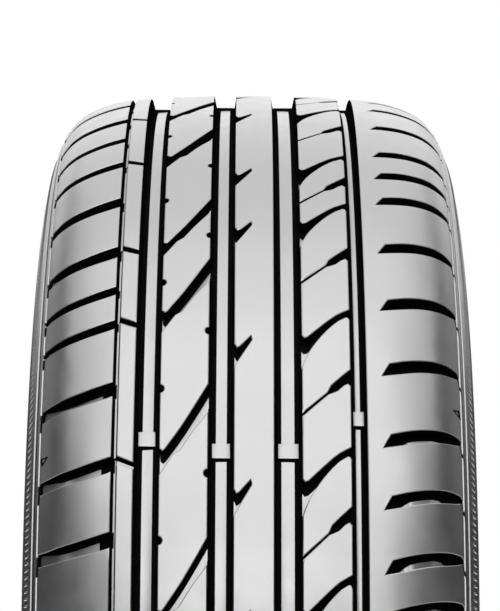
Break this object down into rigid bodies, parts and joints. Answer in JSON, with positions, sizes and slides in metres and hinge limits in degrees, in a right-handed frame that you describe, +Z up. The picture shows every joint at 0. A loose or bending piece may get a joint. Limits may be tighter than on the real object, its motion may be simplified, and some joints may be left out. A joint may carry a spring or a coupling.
{
  "type": "car tyre",
  "caption": "Low-profile tubeless radial tyre for a passenger car, open at the rim side, with an asymmetric grooved tread, blocked shoulders and formed beads.",
  "frame": {"origin": "centre of the wheel: on the spin axis, midway between the two beads", "axes": "+Y along the spin axis, toward the sidewall on the right of the picture; +Z up; +X toward the camera, out of the tread"},
  "size_m": [0.6342, 0.222, 0.6342],
  "materials": {
    "tyre": "matte rubber, slightly glossy on the buttresses"
  },
  "bodies": {
    "root": {"tyre": "tyre"}
  },
  "joints": []
}
